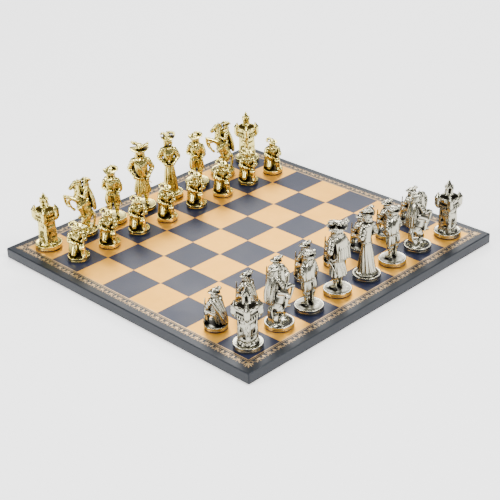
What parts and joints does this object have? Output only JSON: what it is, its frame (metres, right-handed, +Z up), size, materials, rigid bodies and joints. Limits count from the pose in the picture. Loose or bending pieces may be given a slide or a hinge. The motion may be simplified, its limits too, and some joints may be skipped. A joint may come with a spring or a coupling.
{
  "type": "chess set with board",
  "caption": "Figured metal chess set in its opening position on a flat square board with a printed blue and gold playing field and a scroll border.",
  "frame": {"origin": "middle of the board's underside, on the surface that it lies on", "axes": "+Z up, +X from the a-file to the h-file, +Y from the gold side (first rank) to the silver side (eighth rank)"},
  "size_m": [0.35, 0.35, 0.09],
  "materials": {
    "gold_plate": "polished pale gold plate, darker in the recesses",
    "silver_plate": "polished nickel-coloured plate, nearly black in the recesses",
    "leatherette": "satin printed grain, slate blue with gold squares and a gold scroll border",
    "panel": "raw fibreboard",
    "felt": "matt felt"
  },
  "bodies": {
    "board": {"base_felt": "felt", "core_panel": "panel", "leatherette_cover": "leatherette"},
    "gold_rook_a1": {"gold_rook_a1": "gold_plate", "gold_rook_a1_pad": "felt"},
    "gold_knight_b1": {"gold_knight_b1": "gold_plate", "gold_knight_b1_pad": "felt"},
    "gold_bishop_c1": {"gold_bishop_c1": "gold_plate", "gold_bishop_c1_pad": "felt"},
    "gold_queen": {"gold_queen": "gold_plate", "gold_queen_pad": "felt"},
    "gold_king": {"gold_king": "gold_plate", "gold_king_pad": "felt"},
    "gold_bishop_f1": {"gold_bishop_f1": "gold_plate", "gold_bishop_f1_pad": "felt"},
    "gold_knight_g1": {"gold_knight_g1": "gold_plate", "gold_knight_g1_pad": "felt"},
    "gold_rook_h1": {"gold_rook_h1": "gold_plate", "gold_rook_h1_pad": "felt"},
    "gold_pawn_a2": {"gold_pawn_a2": "gold_plate"},
    "gold_pawn_b2": {"gold_pawn_b2": "gold_plate"},
    "gold_pawn_c2": {"gold_pawn_c2": "gold_plate"},
    "gold_pawn_d2": {"gold_pawn_d2": "gold_plate"},
    "gold_pawn_e2": {"gold_pawn_e2": "gold_plate"},
    "gold_pawn_f2": {"gold_pawn_f2": "gold_plate"},
    "gold_pawn_g2": {"gold_pawn_g2": "gold_plate"},
    "gold_pawn_h2": {"gold_pawn_h2": "gold_plate"},
    "silver_rook_a8": {"silver_rook_a8": "silver_plate", "silver_rook_a8_pad": "felt"},
    "silver_knight_b8": {"silver_knight_b8": "silver_plate", "silver_knight_b8_pad": "felt"},
    "silver_bishop_c8": {"silver_bishop_c8": "silver_plate", "silver_bishop_c8_pad": "felt"},
    "silver_queen": {"silver_queen": "silver_plate", "silver_queen_pad": "felt"},
    "silver_king": {"silver_king": "silver_plate", "silver_king_pad": "felt"},
    "silver_bishop_f8": {"silver_bishop_f8": "silver_plate", "silver_bishop_f8_pad": "felt"},
    "silver_knight_g8": {"silver_knight_g8": "silver_plate", "silver_knight_g8_pad": "felt"},
    "silver_rook_h8": {"silver_rook_h8": "silver_plate", "silver_rook_h8_pad": "felt"},
    "silver_pawn_a7": {"silver_pawn_a7": "silver_plate"},
    "silver_pawn_b7": {"silver_pawn_b7": "silver_plate"},
    "silver_pawn_c7": {"silver_pawn_c7": "silver_plate"},
    "silver_pawn_d7": {"silver_pawn_d7": "silver_plate"},
    "silver_pawn_e7": {"silver_pawn_e7": "silver_plate"},
    "silver_pawn_f7": {"silver_pawn_f7": "silver_plate"},
    "silver_pawn_g7": {"silver_pawn_g7": "silver_plate"},
    "silver_pawn_h7": {"silver_pawn_h7": "silver_plate"}
  },
  "joints": [
    {"name": "lift_gold_rook_a1", "type": "slide", "parent": "board", "child": "gold_rook_a1", "axis": [0, 0, 1], "range_m": [0, 0.1]},
    {"name": "lift_gold_knight_b1", "type": "slide", "parent": "board", "child": "gold_knight_b1", "axis": [0, 0, 1], "range_m": [0, 0.1]},
    {"name": "lift_gold_bishop_c1", "type": "slide", "parent": "board", "child": "gold_bishop_c1", "axis": [0, 0, 1], "range_m": [0, 0.1]},
    {"name": "lift_gold_queen", "type": "slide", "parent": "board", "child": "gold_queen", "axis": [0, 0, 1], "range_m": [0, 0.1]},
    {"name": "lift_gold_king", "type": "slide", "parent": "board", "child": "gold_king", "axis": [0, 0, 1], "range_m": [0, 0.1]},
    {"name": "lift_gold_bishop_f1", "type": "slide", "parent": "board", "child": "gold_bishop_f1", "axis": [0, 0, 1], "range_m": [0, 0.1]},
    {"name": "lift_gold_knight_g1", "type": "slide", "parent": "board", "child": "gold_knight_g1", "axis": [0, 0, 1], "range_m": [0, 0.1]},
    {"name": "lift_gold_rook_h1", "type": "slide", "parent": "board", "child": "gold_rook_h1", "axis": [0, 0, 1], "range_m": [0, 0.1]},
    {"name": "lift_gold_pawn_a2", "type": "slide", "parent": "board", "child": "gold_pawn_a2", "axis": [0, 0, 1], "range_m": [0, 0.1]},
    {"name": "lift_gold_pawn_b2", "type": "slide", "parent": "board", "child": "gold_pawn_b2", "axis": [0, 0, 1], "range_m": [0, 0.1]},
    {"name": "lift_gold_pawn_c2", "type": "slide", "parent": "board", "child": "gold_pawn_c2", "axis": [0, 0, 1], "range_m": [0, 0.1]},
    {"name": "lift_gold_pawn_d2", "type": "slide", "parent": "board", "child": "gold_pawn_d2", "axis": [0, 0, 1], "range_m": [0, 0.1]},
    {"name": "lift_gold_pawn_e2", "type": "slide", "parent": "board", "child": "gold_pawn_e2", "axis": [0, 0, 1], "range_m": [0, 0.1]},
    {"name": "lift_gold_pawn_f2", "type": "slide", "parent": "board", "child": "gold_pawn_f2", "axis": [0, 0, 1], "range_m": [0, 0.1]},
    {"name": "lift_gold_pawn_g2", "type": "slide", "parent": "board", "child": "gold_pawn_g2", "axis": [0, 0, 1], "range_m": [0, 0.1]},
    {"name": "lift_gold_pawn_h2", "type": "slide", "parent": "board", "child": "gold_pawn_h2", "axis": [0, 0, 1], "range_m": [0, 0.1]},
    {"name": "lift_silver_rook_a8", "type": "slide", "parent": "board", "child": "silver_rook_a8", "axis": [0, 0, 1], "range_m": [0, 0.1]},
    {"name": "lift_silver_knight_b8", "type": "slide", "parent": "board", "child": "silver_knight_b8", "axis": [0, 0, 1], "range_m": [0, 0.1]},
    {"name": "lift_silver_bishop_c8", "type": "slide", "parent": "board", "child": "silver_bishop_c8", "axis": [0, 0, 1], "range_m": [0, 0.1]},
    {"name": "lift_silver_queen", "type": "slide", "parent": "board", "child": "silver_queen", "axis": [0, 0, 1], "range_m": [0, 0.1]},
    {"name": "lift_silver_king", "type": "slide", "parent": "board", "child": "silver_king", "axis": [0, 0, 1], "range_m": [0, 0.1]},
    {"name": "lift_silver_bishop_f8", "type": "slide", "parent": "board", "child": "silver_bishop_f8", "axis": [0, 0, 1], "range_m": [0, 0.1]},
    {"name": "lift_silver_knight_g8", "type": "slide", "parent": "board", "child": "silver_knight_g8", "axis": [0, 0, 1], "range_m": [0, 0.1]},
    {"name": "lift_silver_rook_h8", "type": "slide", "parent": "board", "child": "silver_rook_h8", "axis": [0, 0, 1], "range_m": [0, 0.1]},
    {"name": "lift_silver_pawn_a7", "type": "slide", "parent": "board", "child": "silver_pawn_a7", "axis": [0, 0, 1], "range_m": [0, 0.1]},
    {"name": "lift_silver_pawn_b7", "type": "slide", "parent": "board", "child": "silver_pawn_b7", "axis": [0, 0, 1], "range_m": [0, 0.1]},
    {"name": "lift_silver_pawn_c7", "type": "slide", "parent": "board", "child": "silver_pawn_c7", "axis": [0, 0, 1], "range_m": [0, 0.1]},
    {"name": "lift_silver_pawn_d7", "type": "slide", "parent": "board", "child": "silver_pawn_d7", "axis": [0, 0, 1], "range_m": [0, 0.1]},
    {"name": "lift_silver_pawn_e7", "type": "slide", "parent": "board", "child": "silver_pawn_e7", "axis": [0, 0, 1], "range_m": [0, 0.1]},
    {"name": "lift_silver_pawn_f7", "type": "slide", "parent": "board", "child": "silver_pawn_f7", "axis": [0, 0, 1], "range_m": [0, 0.1]},
    {"name": "lift_silver_pawn_g7", "type": "slide", "parent": "board", "child": "silver_pawn_g7", "axis": [0, 0, 1], "range_m": [0, 0.1]},
    {"name": "lift_silver_pawn_h7", "type": "slide", "parent": "board", "child": "silver_pawn_h7", "axis": [0, 0, 1], "range_m": [0, 0.1]}
  ]
}
